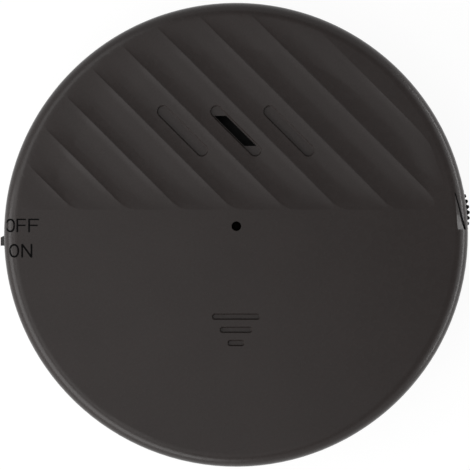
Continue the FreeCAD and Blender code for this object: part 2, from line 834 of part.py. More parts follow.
def make_rear_cover():
    body = new_body("rear_cover")
    plate_plan = sketch_on(body, "plate_plan", rear_z)
    circle(plate_plan, (0, 0), s.case_radius)
    pad(body, "plate", plate_plan, joint_z - rear_z)
    round_edges(body, "rear_edge_round", s.rear_edge,
                lambda curve: near(curve.Center.z, rear_z))
    lip_plan = sketch_on(body, "lip_plan", web_z)
    circle(lip_plan, (0, 0), lip_outer)
    circle(lip_plan, (0, 0), lip_inner)
    pad(body, "lip", lip_plan, lip_top - web_z)
    tray_plan = sketch_on(body, "tray_plan", web_z)
    rectangle(tray_plan, tray_left - s.tray_wall, tray_right + s.tray_wall,
              tray_low_y - s.tray_wall, tray_edge_y)
    pad(body, "tray", tray_plan, tray_top - web_z)
    well_plan = sketch_on(body, "well_plan", rear_z)
    rectangle(well_plan, tray_left, tray_right, tray_low_y, tray_high_y)
    pocket(body, "well", well_plan, tray_inner_z - rear_z)

    beyond = -(s.case_radius + MARGIN)
    path_plan = sketch_on(body, "door_path_plan", rear_z)
    half_path = s.door_half_width + s.slide_gap
    rectangle(path_plan, -half_path, half_path, beyond, door_high_y + s.slide_gap)
    pocket(body, "door_path", path_plan, web_z - rear_z)
    half_groove = half_path + s.tongue_reach
    groove_low = door_z - s.tongue_thickness - s.slide_gap
    groove_plan = sketch_on(body, "groove_plan", groove_low)
    rectangle(groove_plan, -half_groove, half_groove, beyond, door_high_y + s.slide_gap)
    pocket(body, "door_grooves", groove_plan, web_z - groove_low)

    sink_plan = sketch_on(body, "sink_plan", rear_z)
    shank_plan = sketch_on(body, "shank_plan", rear_z)
    for center in boss_places:
        circle(sink_plan, center, s.screw_head + s.assembly_gap)
        circle(shank_plan, center, s.screw_radius + s.assembly_gap)
    pocket(body, "head_sinks", sink_plan, s.screw_head_height + s.screw_sink)
    pocket(body, "shank_holes", shank_plan, joint_z - rear_z + MARGIN)

    floor_slot = sketch_on(body, "negative_slot", -tray_edge_y - MARGIN, plane="XZ_Plane")
    half_leg = s.leg_width / 2 + s.slide_gap
    rectangle(floor_slot, -s.cell_pitch - half_leg, -s.cell_pitch + half_leg,
              tray_inner_z - s.strip - s.slide_gap, tray_inner_z)
    pocket(body, "negative_window", floor_slot, s.tray_wall + s.tray_gap + MARGIN, forwards=True)
    side_slot = sketch_on(body, "positive_slot", -tray_edge_y - MARGIN, plane="XZ_Plane")
    rectangle(side_slot, tray_right - s.strip - s.slide_gap, tray_right,
              side_strip_low - s.slide_gap, side_strip_high + s.slide_gap)
    pocket(body, "positive_window", side_slot, s.tray_wall + s.tray_gap + MARGIN, forwards=True)


def make_battery_door():
    body = new_body("battery_door")
    low_y = -(s.case_radius + MARGIN)
    plan = sketch_on(body, "door_plan", rear_z)
    rectangle(plan, -s.door_half_width, s.door_half_width, low_y, door_high_y)
    pad(body, "door_plate", plan, s.door_thickness)
    tongue_plan = sketch_on(body, "tongue_plan", door_z - s.tongue_thickness)
    half_tongue = s.door_half_width + s.tongue_reach
    tongue_low_y = door_high_y - s.tongue_length
    rectangle(tongue_plan, -half_tongue, half_tongue, tongue_low_y, door_high_y)
    pad(body, "tongues", tongue_plan, s.tongue_thickness)
    trim_plan = sketch_on(body, "trim_plan", rear_z)
    circle(trim_plan, (0, 0), s.case_radius * 2)
    circle(trim_plan, (0, 0), s.case_radius)
    pocket(body, "rim_trim", trim_plan)
    round_edges(body, "rim_edge", s.rear_edge,
                lambda curve: near(curve.Center.z, rear_z) and near(curve.Radius, s.case_radius))
    grip_plan = sketch_on(body, "grip_plan", rear_z + s.grip_depth)
    for step in range(int(s.grip_count.value)):
        y = s.grip_start + s.grip_pitch * step
        oval(grip_plan, (-s.grip_half_span, y), (s.grip_half_span, y), s.grip_radius)
    pocket(body, "grip", grip_plan, forwards=False)
    plate_seat = sketch_on(body, "plate_seat_plan", door_z)
    rectangle(plate_seat, -link_reach - s.slide_gap, link_end + s.slide_gap,
              s.cell_row - s.strip_width / 2 - s.slide_gap, s.cell_row + s.strip_width / 2 + s.slide_gap)
    pocket(body, "plate_seat", plate_seat, s.strip, forwards=False)


def make_pad():
    body = new_body("adhesive_pad")
    plan = sketch_on(body, "pad_plan")
    circle(plan, (0, 0), s.case_radius - s.pad_inset)
    pad(body, "foam", plan, s.pad_thickness)
    clear = s.door_half_width + s.tongue_reach + s.pad_door_gap
    cut_plan = sketch_on(body, "door_clearance")
    rectangle(cut_plan, -clear, clear, -(s.case_radius + MARGIN), door_high_y + s.pad_door_gap)
    pocket(body, "door_gap", cut_plan)


def make_screws(label, places, head_radius, head_low, head_height, shank_radius, length):
    """Screws with round heads below and a cross recess in each."""
    body = new_body(label)
    head_plan = sketch_on(body, f"{label}_heads", head_low)
    shank_plan = sketch_on(body, f"{label}_shanks", head_low + head_height / 2)
    for center in places:
        circle(head_plan, center, head_radius)
        circle(shank_plan, center, shank_radius)
    pad(body, f"{label}_head_pad", head_plan, head_height)
    pad(body, f"{label}_shank_pad", shank_plan, head_height / 2 + length)
    half_span = s.recess_span / 2 * (head_radius / s.screw_head)
    half_width = s.recess_width / 2
    for name, reach_x, reach_y in (("wide", half_span, half_width), ("tall", half_width, half_span)):
        recess_plan = sketch_on(body, f"{label}_{name}_recess", head_low)
        for x, y in places:
            rectangle(recess_plan, x - reach_x, x + reach_x, y - reach_y, y + reach_y)
        pocket(body, f"{label}_{name}_slot", recess_plan, s.recess_depth)


def make_board():
    body = new_body("circuit_board")
    plan = sketch_on(body, "board_plan", board_low)
    circle(plan, (0, 0), board_radius)
    pad(body, "laminate", plan, s.board_thickness)
    edge_plan = sketch_on(body, "board_edge_plan", board_low)
    rectangle(edge_plan, -s.case_radius, s.case_radius, -s.case_radius, board_edge_y)
    pocket(body, "tray_side", edge_plan)
    hole_plan = sketch_on(body, "board_holes", board_low)
    for center in boss_places[:2]:
        circle(hole_plan, center, s.boss_radius + s.assembly_gap * 2)
    for center in board_screw_places:
        circle(hole_plan, center, s.board_screw_radius + s.assembly_gap)
    for center in pin_places():
        circle(hole_plan, center, s.pin_radius + s.slide_gap)
    for center in lead_places():
        circle(hole_plan, center, s.wire_radius + s.slide_gap)
    pocket(body, "holes", hole_plan)
    notch_plan = sketch_on(body, "notch_plan", board_low)
    half_leg = s.leg_width / 2 + s.slide_gap
    rectangle(notch_plan, -s.cell_pitch - half_leg, -s.cell_pitch + half_leg,
              board_edge_y - MARGIN, leg_y + s.slide_gap)
    rectangle(notch_plan, tray_right - s.strip - s.slide_gap, tray_right + s.slide_gap,
              board_edge_y - MARGIN, leg_y + s.slide_gap)
    pocket(body, "leg_notches", notch_plan)


def led_pins():
    half = s.led_lead_pitch / 2
    return [(s.indicator_x - half, s.indicator_y), (s.indicator_x + half, s.indicator_y)]


def switch_pins():
    x = switch_back - s.switch_depth / 2
    return [(x, switch_y + s.switch_pin_pitch * step) for step in (-1, 0, 1)]


def dial_pins():
    places = []
    for step in (-1, 0, 1):
        x, y = at_angle(s.dial_pin_reach, as_size(180) + s.dial_pin_angle * step)
        places.append((wheel_x + x, wheel_y + y))
    return places


def pin_places():
    return led_pins() + switch_pins() + dial_pins()


def sensor_lead_places():
    x = sensor_x + s.sensor_length / 2 + s.lead_bend + s.lead_radius * 2
    return [(x, s.sensor_y - s.sensor_radius / 2), (x, s.sensor_y + s.sensor_radius / 2)]


def siren_lead_places():
    edge_y = siren_y - s.ceramic_radius
    return [(-s.wire_spacing, edge_y), (s.wire_spacing, edge_y - s.wire_run)]


def lead_places():
    return sensor_lead_places() + siren_lead_places()


def make_siren():
    plate_z = seat_z - s.piezo_plate
    ceramic_z = plate_z - s.ceramic_thickness
    siren = (0, siren_y)
    for label, radius, low, height in (
        ("piezo_plate", s.piezo_radius, plate_z, s.piezo_plate),
        ("piezo_ceramic", s.ceramic_radius, ceramic_z, s.ceramic_thickness),
    ):
        body = new_body(label)
        plan = sketch_on(body, f"{label}_plan", low)
        circle(plan, siren, radius)
        pad(body, f"{label}_disc", plan, height)
    inner_place, outer_place = siren_lead_places()
    wire = s.wire_radius.value
    starts = [
        ("piezo_lead_inner", inner_place, siren_y, ceramic_z),
        ("piezo_lead_outer", outer_place, siren_y - s.ceramic_radius, plate_z),
    ]
    for label, (x, y), start_y, surface_z in starts:
        level = surface_z.value - wire
        points = [
            FreeCAD.Vector(x.value, start_y.value, level),
            FreeCAD.Vector(x.value, y.value, level),
            FreeCAD.Vector(x.value, y.value, board_leg_low.value),
        ]
        solid_of(label, bent_wire(points, wire, s.wire_bend.value))


def make_indicator():
    body = new_body("indicator_led")
    profile_sketch = sketch_on(body, "flange_plan")
    circle(profile_sketch, (0, 0), s.led_flange)
    pad(body, "flange", profile_sketch, s.led_flange_height)
    barrel_plan = sketch_on(body, "barrel_plan")
    circle(barrel_plan, (0, 0), s.led_radius)
    pad(body, "barrel", barrel_plan, s.led_height)
    round_edges(body, "dome", s.led_dome,
                lambda curve: near(curve.Radius, s.led_radius) and near(curve.Center.z, s.led_height))
    put(body, s.indicator_x, s.indicator_y, board_top)
    pins("led_leads", led_pins(), s.pin_radius, board_low - s.pin_tail, board_top)


def make_switch():
    case = new_body("switch_case")
    low_y = switch_y - switch_half
    high_y = switch_y + switch_half
    base_top = board_top + s.switch_base
    outer = sketch_on(case, "case_plan", base_top)
    rectangle(outer, switch_front, switch_back, low_y, high_y)
    pad(case, "case_block", outer, switch_top - base_top)
    inner = sketch_on(case, "case_hollow_plan", base_top)
    rectangle(inner, switch_front + s.switch_wall, switch_back - s.switch_wall,
              low_y + s.switch_wall, high_y - s.switch_wall)
    pocket(case, "case_hollow", inner, switch_top - base_top - s.switch_wall)
    window = sketch_on(case, "case_window_plan", switch_front + s.switch_depth / 2, plane="YZ_Plane")
    half_knob = s.knob_width / 2 + s.running_gap
    rectangle(window, s.knob_rest - half_knob, knob_off + half_knob,
              base_top, knob_top + s.running_gap)
    pocket(case, "case_window", window, forwards=False)

    block("switch_base", switch_front, switch_back, low_y, high_y, board_top, s.switch_base)
    pins("switch_terminals", switch_pins(), s.pin_radius, board_low - s.pin_tail, board_top)

    knob = new_body("switch_knob")
    slider_front = switch_front + s.switch_wall + s.running_gap
    half_slider = s.slider_length / 2
    slider_plan = sketch_on(knob, "slider_plan")
    rectangle(slider_plan, slider_front, slider_front + s.slider_depth, -half_slider, half_slider)
    pad(knob, "slider", slider_plan, s.knob_height)
    tip_x = -(s.case_radius + s.knob_proud)
    half = s.knob_width / 2
    lever_plan = sketch_on(knob, "lever_plan")
    polygon(lever_plan, [
        (slider_front + s.slider_depth / 2, -half),
        (tip_x, -half),
        (tip_x, half - s.knob_bevel),
        (tip_x + s.knob_bevel * 2, half),
        (slider_front + s.slider_depth / 2, half),
    ])
    pad(knob, "lever", lever_plan, s.knob_height)
    put(knob, ZERO, s.knob_rest, knob_low)


def make_dial():
    base = new_body("dial_base")
    base_plan = sketch_on(base, "base_plan")
    circle(base_plan, (0, 0), s.dial_base_radius)
    pad(base, "base_disc", base_plan, s.dial_base_height)
    bore_plan = sketch_on(base, "bore_plan")
    circle(bore_plan, (0, 0), s.rotor_radius + s.fit_gap)
    pocket(base, "bore", bore_plan)
    put(base, wheel_x, wheel_y, board_top)
    pins("dial_terminals", dial_pins(), s.pin_radius, board_low - s.pin_tail, board_top)

    shaft_height = s.dial_base_height - s.fit_gap
    rotor = new_body("dial_rotor")
    shaft_plan = sketch_on(rotor, "shaft_plan")
    circle(shaft_plan, (0, 0), s.rotor_radius)
    pad(rotor, "shaft", shaft_plan, shaft_height + s.running_gap)
    collar_plan = sketch_on(rotor, "collar_plan", shaft_height + s.fit_gap * 2)
    circle(collar_plan, (0, 0), s.rotor_collar)
    pad(rotor, "collar", collar_plan, s.running_gap - s.fit_gap * 2)
    put(rotor, wheel_x, wheel_y, board_top + s.fit_gap)

    wheel = new_body("sensitivity_wheel")
    wheel_plan = sketch_on(wheel, "wheel_disc_plan")
    circle(wheel_plan, (0, 0), s.wheel_radius)
    pad(wheel, "wheel_disc", wheel_plan, s.wheel_thickness)
    dish_plan = sketch_on(wheel, "dish_plan", s.wheel_thickness)
    circle(dish_plan, (0, 0), s.wheel_dish)
    pocket(wheel, "dish", dish_plan, s.wheel_dish_depth, forwards=False)
    hole_plan = sketch_on(wheel, "wheel_hole_plan")
    circle(hole_plan, (0, 0), s.wheel_screw_radius + s.fit_gap)
    pocket(wheel, "wheel_hole", hole_plan)
    notch_plan = sketch_on(wheel, "tooth_gap_plan")
    half_gap = as_size(180) / s.tooth_count
    notch_reach = s.wheel_radius - s.notch_depth + s.notch_radius
    circle(notch_plan, at_angle(notch_reach, s.tooth_phase + half_gap), s.notch_radius)
    gap = pocket(wheel, "tooth_gap", notch_plan)
    teeth = wheel.newObject("PartDesign::PolarPattern", "teeth")
    teeth.Originals = [gap]
    teeth.Axis = (origin_of(wheel, "Z_Axis"), [""])
    teeth.Angle = 360
    bind(teeth, "Occurrences", s.tooth_count)
    wheel.Tip = teeth
    put(wheel, wheel_x, wheel_y, wheel_low)

    screw = new_body("wheel_screw")
    head_low = s.wheel_thickness - s.wheel_dish_depth
    head_plan = sketch_on(screw, "wheel_screw_head_plan", head_low)
    circle(head_plan, (0, 0), s.wheel_screw_head)
    pad(screw, "wheel_screw_top", head_plan, s.wheel_screw_height)
    stem_plan = sketch_on(screw, "wheel_screw_stem_plan")
    circle(stem_plan, (0, 0), s.wheel_screw_radius)
    pad(screw, "wheel_screw_stem", stem_plan, head_low + s.wheel_screw_height / 2)
    groove_plan = sketch_on(screw, "driver_slot_plan", head_low + s.wheel_screw_height - s.driver_slot)
    rectangle(groove_plan, -s.wheel_screw_head * 2, s.wheel_screw_head * 2,
              -s.recess_width / 2, s.recess_width / 2)
    pocket(screw, "driver_slot", groove_plan)
    put(screw, wheel_x, wheel_y, wheel_low)


def make_vibration_sensor():
    can = new_body("vibration_sensor")
    end_plan = sketch_on(can, "can_section", plane="YZ_Plane")
    circle(end_plan, (0, 0), s.sensor_radius)
    pad(can, "can", end_plan, s.sensor_length, midplane=True)
    put(can, sensor_x, s.sensor_y, board_top + s.sensor_radius)
    end_x = sensor_x + s.sensor_length / 2
    level = board_top + s.sensor_radius
    wires = []
    for x, y in sensor_lead_places():
        points = [
            FreeCAD.Vector(end_x.value, y.value, level.value),
            FreeCAD.Vector(x.value, y.value, level.value),
            FreeCAD.Vector(x.value, y.value, board_leg_low.value),
        ]
        wires.append(bent_wire(points, s.lead_radius.value, s.lead_bend.value))
    solid_of("sensor_leads", Part.makeCompound(wires))


def make_components():
    coil = new_body("boost_coil")
    height = s.coil_height
    turned(coil, "drum", [
        (0, 0),
        (s.coil_radius, 0),
        (s.coil_radius, s.coil_flange),
        (s.coil_winding, s.coil_flange),
        (s.coil_winding, height - s.coil_flange),
        (s.coil_radius, height - s.coil_flange),
        (s.coil_radius, height),
        (0, height),
    ])
    put(coil, s.coil_x, s.coil_y, board_top)

    capacitor = new_body("storage_capacitor")
    section = sketch_on(capacitor, "capacitor_section", plane="YZ_Plane")
    circle(section, (0, 0), s.capacitor_radius)
    pad(capacitor, "capacitor_can", section, s.capacitor_length, midplane=True)
    put(capacitor, capacitor_x, s.capacitor_y, board_top + s.capacitor_radius)

    chip_sizes = [
        ("control_chip", chip_x, s.chip_y, s.chip_length, s.chip_width, s.chip_height, s.chip_lead_count),
        ("drive_transistor", s.transistor_x, s.transistor_y, s.transistor_length, s.transistor_width,
         s.transistor_height, s.transistor_lead_count),
    ]
    half_lead = s.chip_lead_width / 2
    for label, x, y, length, width, chip_height, lead_count in chip_sizes:
        chip = block(label, -(length / 2), length / 2, -(width / 2), width / 2, ZERO, chip_height)
        leads = sketch_on(chip, f"{label}_lead_plan")
        spacing = length / lead_count
        reach = width / 2 + s.chip_lead_reach
        for step in range(int(lead_count.value)):
            center = spacing * (step + 0.5) - length / 2
            rectangle(leads, center - half_lead, center + half_lead, -reach, reach)
        pad(chip, f"{label}_leads", leads, s.strip)
        put(chip, x, y, board_top)

    resistors = new_body("chip_resistors")
    plan = sketch_on(resistors, "resistor_plan", board_top)
    half_length = s.resistor_length / 2
    half_width = s.resistor_width / 2
    for step in range(int(s.resistor_count.value)):
        x = s.resistor_pitch * (as_size(step) - (s.resistor_count - 1) / 2)
        rectangle(plan, x - half_width, x + half_width, s.resistor_row - half_length,
                  s.resistor_row + half_length)
    pad(resistors, "resistor_blocks", plan, s.resistor_height)


def make_cells():
    for label, step in (("button_cell_left", -1), ("button_cell_middle", 0), ("button_cell_right", 1)):
        cell = new_body(label)
        can_top = s.cell_height - s.cell_bevel
        turned(cell, f"{label}_can", [
            (0, 0),
            (s.cell_radius - s.cell_bevel, 0),
            (s.cell_radius, s.cell_bevel),
            (s.cell_radius, can_top),
            (s.cell_cap + s.cell_bevel, can_top),
            (s.cell_cap, s.cell_height),
            (0, s.cell_height),
        ])
        x = s.cell_pitch * step
        if step == 0:
            put(cell, x, s.cell_row, cell_top)
            cell.Placement.Rotation = FreeCAD.Rotation(FreeCAD.Vector(1, 0, 0), 180)
        else:
            put(cell, x, s.cell_row, web_z)


def bowed(sketch, path):
    """A thin strip along a path, as thick as the contact strip and always on its upper side."""
    upper = [(along, level + s.strip) for along, level in reversed(path)]
    polygon(sketch, list(path) + upper)


def bow(center):
    """The part of a contact strip that bends down from the tray floor to touch a cell."""
    rest = tray_inner_z - s.strip
    touch = cell_top + s.fit_gap
    return [
        (center - s.bow_run, rest),
        (center - s.bow_flat, touch),
        (center + s.bow_flat, touch),
        (center + s.bow_run, rest),
    ]


def make_contacts():
    negative = new_body("negative_spring")
    section = sketch_on(negative, "negative_section", plane="YZ_Plane")
    bowed(section, bow(s.cell_row))
    pad(negative, "negative_bow", section, s.strip_width, midplane=True)
    tab_plan = sketch_on(negative, "negative_tab_plan", tray_inner_z - s.strip)
    half_leg = s.leg_width / 2
    rectangle(tab_plan, -half_leg, half_leg, s.cell_row + s.bow_run - s.strip, leg_y)
    pad(negative, "negative_tab", tab_plan, s.strip)
    leg_plan = sketch_on(negative, "negative_leg_plan", board_leg_low)
    rectangle(leg_plan, -half_leg, half_leg, leg_y - s.strip, leg_y)
    pad(negative, "negative_leg", leg_plan, tray_inner_z - board_leg_low)
    put(negative, -s.cell_pitch)

    link = new_body("link_spring")
    link_section = sketch_on(link, "link_section", plane="XZ_Plane")
    bowed(link_section, bow(ZERO) + bow(s.cell_pitch))
    pad(link, "link_strip", link_section, s.strip_width, midplane=True)
    put(link, ZERO, s.cell_row)

    positive = new_body("positive_spring")
    wall_x = tray_right - s.strip
    touch_x = s.cell_pitch + s.cell_radius + s.fit_gap
    side_plan = sketch_on(positive, "positive_plan", side_strip_low)
    path = [
        (s.cell_row - s.bow_run, wall_x),
        (s.cell_row - s.bow_flat, touch_x),
        (s.cell_row + s.bow_flat, touch_x),
        (s.cell_row + s.bow_run, wall_x),
        (leg_y, wall_x),
    ]
    outer = [(along, across + s.strip) for along, across in reversed(path)]
    polygon(side_plan, [(across, along) for along, across in path + outer])
    pad(positive, "positive_strip", side_plan, side_strip_high - side_strip_low)
    foot_plan = sketch_on(positive, "positive_foot_plan", board_leg_low)
    rectangle(foot_plan, wall_x, tray_right, leg_y - s.leg_width / 2, leg_y)
    pad(positive, "positive_foot", foot_plan, side_strip_high - board_leg_low)

    half_strip = s.strip_width / 2
    block("door_link_plate", -link_reach, link_end, s.cell_row - half_strip, s.cell_row + half_strip,
          door_z - s.strip, s.strip)


make_front_cover()
make_rear_cover()
make_battery_door()
make_pad()
make_screws("housing_screws", boss_places, s.screw_head, rear_z + s.screw_sink, s.screw_head_height,
            s.screw_radius, s.screw_length)
make_board()
make_screws("board_screws", board_screw_places, s.board_screw_head, board_low - s.board_screw_head_height,
            s.board_screw_head_height, s.board_screw_radius, s.board_thickness + s.board_screw_length)
make_siren()
make_indicator()
make_switch()
make_dial()
make_vibration_sensor()
make_components()
make_cells()
make_contacts()
doc.recompute()

for item in doc.Objects:
    if "Invalid" in item.State or "Error" in item.State:
        raise RuntimeError(f"{item.Label} failed: {item.State}")
for piece in pieces + cutters:
    if piece.Shape.isNull() or not piece.Shape.isValid() or not piece.Shape.Solids:
        raise RuntimeError(f"{piece.Label} has no sound solid")
for piece in pieces:
    piece.Shape.exportStep(f"parts/{piece.Label}.step")
    print(piece.Label, len(piece.Shape.Solids), round(piece.Shape.Volume, 2))
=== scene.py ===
import math

import bmesh
import bpy
import numpy as np
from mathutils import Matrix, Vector


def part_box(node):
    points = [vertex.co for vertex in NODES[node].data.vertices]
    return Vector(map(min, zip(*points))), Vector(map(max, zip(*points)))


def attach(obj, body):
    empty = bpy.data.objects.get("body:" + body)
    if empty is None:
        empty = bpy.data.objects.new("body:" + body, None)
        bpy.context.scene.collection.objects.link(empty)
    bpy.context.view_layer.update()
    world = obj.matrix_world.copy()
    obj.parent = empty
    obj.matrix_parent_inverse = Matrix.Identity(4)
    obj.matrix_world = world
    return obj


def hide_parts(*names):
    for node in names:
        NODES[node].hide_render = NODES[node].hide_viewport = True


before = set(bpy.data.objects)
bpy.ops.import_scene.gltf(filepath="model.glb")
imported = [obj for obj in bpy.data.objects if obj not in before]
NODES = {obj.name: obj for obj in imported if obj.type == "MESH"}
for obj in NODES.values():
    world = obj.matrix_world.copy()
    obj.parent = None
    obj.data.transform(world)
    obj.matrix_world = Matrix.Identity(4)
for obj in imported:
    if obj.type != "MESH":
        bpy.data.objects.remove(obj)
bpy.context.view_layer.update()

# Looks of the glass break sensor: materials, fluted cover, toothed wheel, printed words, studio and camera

MM = 0.001
FRONT_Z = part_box("front_cover")[1].z
CASE_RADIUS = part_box("rear_cover")[1].x
RIM_ROUND = 2.1 * MM


def new_object(name, data):
    """A new object in the scene with this mesh, light or camera."""
    thing = bpy.data.objects.new(name, data)
    bpy.context.scene.collection.objects.link(thing)
    return thing


def read_rows(items, attribute, width, kind=np.float32):
    """An attribute of all the items of a mesh, one row for each item."""
    values = np.empty(len(items) * width, kind)
    items.foreach_get(attribute, values)
    return values.reshape(-1, width)


# Materials

NOISE_LOW = 0.3
NOISE_HIGH = 0.7


class Tree:
    """The node tree of a new material whose surface is one Principled shader."""

    def __init__(self, name, base, roughness, metallic=0.0, specular=0.5):
        self.material = bpy.data.materials.new(name)
        self.material.use_nodes = True
        self.nodes = self.material.node_tree.nodes
        self.links = self.material.node_tree.links
        self.shader = self.nodes["Principled BSDF"]
        self.shader.inputs["Base Color"].default_value = (*base, 1)
        self.shader.inputs["Roughness"].default_value = roughness
        self.shader.inputs["Metallic"].default_value = metallic
        self.shader.inputs["Specular IOR Level"].default_value = specular
        self.place = self.nodes.new("ShaderNodeTexCoord").outputs["Object"]

    def link(self, source, target):
        self.links.new(source, target)

    def stretched(self, stretch):
        """The place in the object, with each axis multiplied by its share of stretch."""
        node = self.nodes.new("ShaderNodeMapping")
        node.inputs["Scale"].default_value = stretch
        self.link(self.place, node.inputs["Vector"])
        return node.outputs["Vector"]

    def noise(self, grain, detail=3.0, stretch=None):
        """Cloudy noise whose patches are about grain metres wide."""
        node = self.nodes.new("ShaderNodeTexNoise")
        node.inputs["Scale"].default_value = 1 / grain
        node.inputs["Detail"].default_value = detail
        place = self.stretched(stretch) if stretch else self.place
        self.link(place, node.inputs["Vector"])
        return node.outputs["Fac"]

    def cells(self, grain, feature="F1"):
        """The distance to the points or edges of random cells, about grain metres wide."""
        node = self.nodes.new("ShaderNodeTexVoronoi")
        node.feature = feature
        node.inputs["Scale"].default_value = 1 / grain
        self.link(self.place, node.inputs["Vector"])
        return node.outputs["Distance"]

    def waves(self, grain, direction="X", distortion=0.0):
        """Stripes across one axis, about three to each stretch of grain metres."""
        node = self.nodes.new("ShaderNodeTexWave")
        node.bands_direction = direction
        node.inputs["Scale"].default_value = 1 / grain
        node.inputs["Distortion"].default_value = distortion
        self.link(self.place, node.inputs["Vector"])
        return node.outputs["Fac"]

    def near_height(self, middle, reach):
        """1 within reach of a height in the object, and 0 elsewhere."""
        split = self.nodes.new("ShaderNodeSeparateXYZ")
        self.link(self.place, split.inputs["Vector"])
        node = self.nodes.new("ShaderNodeMath")
        node.operation = "COMPARE"
        node.inputs[1].default_value = middle
        node.inputs[2].default_value = reach
        self.link(split.outputs["Z"], node.inputs[0])
        return node.outputs["Value"]

    def ramp(self, factor, low, low_colour, high, high_colour):
        """Sets the colour from low_colour, where factor is low, to high_colour, where it is high."""
        node = self.nodes.new("ShaderNodeValToRGB")
        stops = ((low, low_colour), (high, high_colour))
        for element, (position, colour) in zip(node.color_ramp.elements, stops):
            element.position = position
            element.color = (*colour, 1)
        self.link(factor, node.inputs["Fac"])
        self.link(node.outputs["Color"], self.shader.inputs["Base Color"])

    def roughen(self, factor, low, high, start=NOISE_LOW, end=NOISE_HIGH):
        """Spreads the roughness from low to high while factor goes from start to end."""
        node = self.nodes.new("ShaderNodeMapRange")
        node.inputs["From Min"].default_value = start
        node.inputs["From Max"].default_value = end
        node.inputs["To Min"].default_value = low
        node.inputs["To Max"].default_value = high
        self.link(factor, node.inputs["Value"])
        self.link(node.outputs["Result"], self.shader.inputs["Roughness"])

    def bump(self, height, strength, depth):
        """Gives the surface relief, depth metres deep."""
        node = self.nodes.new("ShaderNodeBump")
        node.inputs["Strength"].default_value = strength
        node.inputs["Distance"].default_value = depth
        self.link(height, node.inputs["Height"])
        self.link(node.outputs["Normal"], self.shader.inputs["Normal"])

    def mottle(self, grain, dark, pale, detail=3.0, pale_from=NOISE_HIGH):
        """Clouds of colour, about grain metres wide."""
        self.ramp(self.noise(grain, detail), NOISE_LOW, dark, pale_from, pale)


def shade(colour, factor):
    """The colour, darker or paler by a factor."""
    return tuple(channel * factor for channel in colour)


def moulded_plastic(name, base, roughness, specular=0.3):
    """Injection moulded plastic: eroded grain, faint flow mottle and uneven gloss."""
    tree = Tree(name, base, roughness, specular=specular)
    tree.mottle(grain=9 * MM, dark=shade(base, 0.95), pale=shade(base, 1.05), detail=4.0)
    tree.roughen(tree.noise(1.2 * MM, detail=5.0), low=roughness - 0.04, high=roughness + 0.04)
    tree.bump(tree.noise(0.14 * MM, detail=2.0), strength=0.25, depth=0.004 * MM)
    return tree.material


def worked_metal(name, base, roughness, stretch=(1, 12, 1)):
    """Plated or rolled metal with drawn streaks and faint stains."""
    tree = Tree(name, base, roughness, metallic=1.0)
    tree.mottle(grain=3 * MM, dark=shade(base, 0.88), pale=base, detail=4.0, pale_from=0.72)
    streaks = tree.noise(0.5 * MM, stretch=stretch)
    tree.roughen(streaks, low=roughness - 0.07, high=roughness + 0.1)
    tree.bump(streaks, strength=0.12, depth=0.01 * MM)
    return tree.material


def resin(name, base, roughness, specular=0.5):
    """Cast or moulded resin, with faint swirls."""
    tree = Tree(name, base, roughness, specular=specular)
    tree.mottle(grain=1.0 * MM, dark=shade(base, 0.85), pale=base)
    tree.roughen(tree.noise(0.3 * MM), low=roughness - 0.05, high=roughness + 0.08)
    tree.bump(tree.noise(0.2 * MM), strength=0.1, depth=0.004 * MM)
    return tree.material


def foam_tape():
    """Closed-cell foam: pale, matt and finely pitted."""
    base = (0.78, 0.78, 0.75)
    tree = Tree("foam_tape", base, roughness=0.85, specular=0.2)
    tree.mottle(grain=2 * MM, dark=shade(base, 0.93), pale=base, detail=5.0)
    pits = tree.cells(0.25 * MM)
    tree.roughen(pits, low=0.75, high=0.95, start=0.0, end=0.6)
    tree.bump(pits, strength=0.5, depth=0.05 * MM)
    return tree.material


def solder_mask():
    """Green board with paler tracks under the lacquer and glass weave in its relief."""
    tracks = (0.02, 0.13, 0.045)
    ground = (0.008, 0.06, 0.02)
    tree = Tree("solder_mask", (0.01, 0.08, 0.025), roughness=0.3)
    tree.ramp(tree.cells(2.4 * MM, "DISTANCE_TO_EDGE"), 0.05, tracks, 0.09, ground)
    tree.roughen(tree.noise(0.8 * MM), low=0.22, high=0.36)
    weave = tree.waves(2 * MM, distortion=0.4)
    tree.bump(weave, strength=0.1, depth=0.01 * MM)
    return tree.material


def fired_ceramic():
    """Pale ceramic with a fine, dull face."""
    base = (0.62, 0.61, 0.56)
    tree = Tree("fired_ceramic", base, roughness=0.45)
    tree.mottle(grain=0.6 * MM, dark=shade(base, 0.9), pale=base, detail=5.0)
    tree.roughen(tree.noise(0.2 * MM), low=0.38, high=0.55)
    tree.bump(tree.noise(0.12 * MM), strength=0.3, depth=0.006 * MM)
    return tree.material


def wound_coil():
    """A ferrite drum with copper windings between its flanges."""
    ferrite = (0.03, 0.03, 0.033)
    copper = (0.42, 0.14, 0.05)
    flange = 0.7 * MM
    low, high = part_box("boost_coil")
    tree = Tree("wound_coil", ferrite, roughness=0.5)
    wound = tree.near_height((low.z + high.z) / 2, (high.z - low.z) / 2 - flange)
    tree.ramp(wound, 0.4, ferrite, 0.6, copper)
    turns = tree.waves(1.2 * MM, direction="Z")
    tree.roughen(turns, low=0.35, high=0.55, start=0.0, end=1.0)
    tree.bump(turns, strength=0.6, depth=0.05 * MM)
    return tree.material


def printing_ink():
    """Dull black ink."""
    base = (0.004, 0.004, 0.004)
    tree = Tree("printing_ink", base, roughness=0.7, specular=0.0)
    tree.mottle(grain=0.15 * MM, dark=base, pale=shade(base, 2), pale_from=0.75)
    tree.roughen(tree.noise(0.1 * MM), low=0.65, high=0.8)
    tree.bump(tree.noise(0.08 * MM), strength=0.2, depth=0.002 * MM)
    return tree.material


def dress(material, *names):
    """Gives the named nodes a material."""
    for name in names:
        mesh = NODES[name].data
        mesh.materials.clear()
        mesh.materials.append(material)


